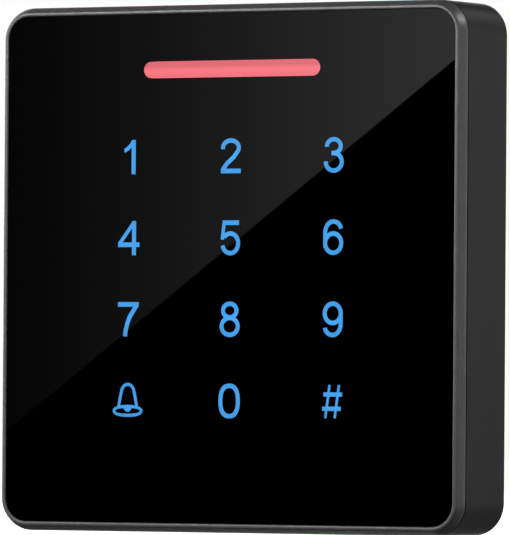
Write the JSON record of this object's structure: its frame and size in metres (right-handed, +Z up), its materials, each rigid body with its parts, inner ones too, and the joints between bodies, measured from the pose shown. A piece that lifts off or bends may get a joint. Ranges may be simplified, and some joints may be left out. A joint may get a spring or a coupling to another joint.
{
  "type": "keypad access reader",
  "caption": "Square flat touch keypad with a glossy black front, lit symbols and a status light bar, hung on a steel wall plate with a locking screw.",
  "frame": {"origin": "centre of the wall plate's back face, midway between the two wall screws", "axes": "+Y into the wall, -Y out of the front face, +Z up, +X to the right as seen from the front"},
  "size_m": [0.086, 0.0156, 0.086],
  "materials": {
    "zinc_steel": "zinc-plated, dull",
    "black_steel": "black oxide",
    "housing_plastic": "fine satin texture",
    "frame_plastic": "satin, slightly metallic",
    "black_acrylic": "polished",
    "foam": "closed-cell foam",
    "white_film": "milky film",
    "circuit_board": "solder mask",
    "led_white": "moulded",
    "chip_black": "moulded epoxy",
    "connector_nylon": "natural nylon",
    "copper": "enamelled copper wire",
    "screw_steel": "nickel-plated",
    "tin_can": "satin can",
    "relay_blue": "moulded",
    "pin_gold": "gold flash",
    "plunger_white": "acetal",
    "button_red": "moulded",
    "cover_plastic": "fine texture",
    "label_silver": "blank foil label",
    "blue_light": "translucent, lit from behind",
    "red_light": "translucent, lit from behind"
  },
  "bodies": {
    "wall_mount": {"wall_plate": "zinc_steel"},
    "reader_unit": {"housing": "housing_plastic", "bezel_frame": "frame_plastic", "front_panel": "black_acrylic", "panel_gasket": "foam", "status_light_bar": "red_light", "diffuser_sheet": "white_film", "touch_board": "circuit_board", "key_leds": "led_white", "status_leds": "led_white", "touch_controller": "chip_black", "board_connector": "connector_nylon", "main_board": "circuit_board", "antenna_coil": "copper", "board_screws": "screw_steel", "microcontroller": "chip_black", "crystal": "tin_can", "relay": "relay_blue", "buzzer": "chip_black", "wiring_header": "connector_nylon", "header_pins": "pin_gold", "voltage_regulator": "chip_black", "capacitors": "tin_can", "tamper_switch_body": "chip_black", "tamper_spring": "screw_steel", "reset_switch_body": "chip_black", "back_cover": "cover_plastic", "cover_screws": "screw_steel", "rating_label": "label_silver", "key_window_1": "blue_light", "key_window_2": "blue_light", "key_window_3": "blue_light", "key_window_4": "blue_light", "key_window_5": "blue_light", "key_window_6": "blue_light", "key_window_7": "blue_light", "key_window_8": "blue_light", "key_window_9": "blue_light", "key_window_bell": "blue_light", "key_window_0": "blue_light", "key_window_hash": "blue_light"},
    "lock_screw": {"security_screw": "black_steel"},
    "tamper_button": {"tamper_plunger": "plunger_white"},
    "reset_key": {"reset_button": "button_red"}
  },
  "joints": [
    {"name": "reader_tilt", "type": "hinge", "parent": "wall_mount", "child": "reader_unit", "pos_m": [0, -0.0003, 0.043], "axis": [-1, 0, 0], "range_deg": [0, 15]},
    {"name": "security_screw_travel", "type": "slide", "parent": "wall_mount", "child": "lock_screw", "axis": [0, 0, -1], "range_m": [0, 0.0025]},
    {"name": "tamper_plunge", "type": "slide", "parent": "reader_unit", "child": "tamper_button", "axis": [0, 1, 0], "range_m": [0, 0.0015], "stiffness_N_per_m": 300, "springref_m": 0.002, "deforming": ["tamper_spring"]},
    {"name": "reset_press", "type": "slide", "parent": "reader_unit", "child": "reset_key", "axis": [0, -1, 0], "range_m": [0, 0.0003], "stiffness_N_per_m": 1000}
  ]
}
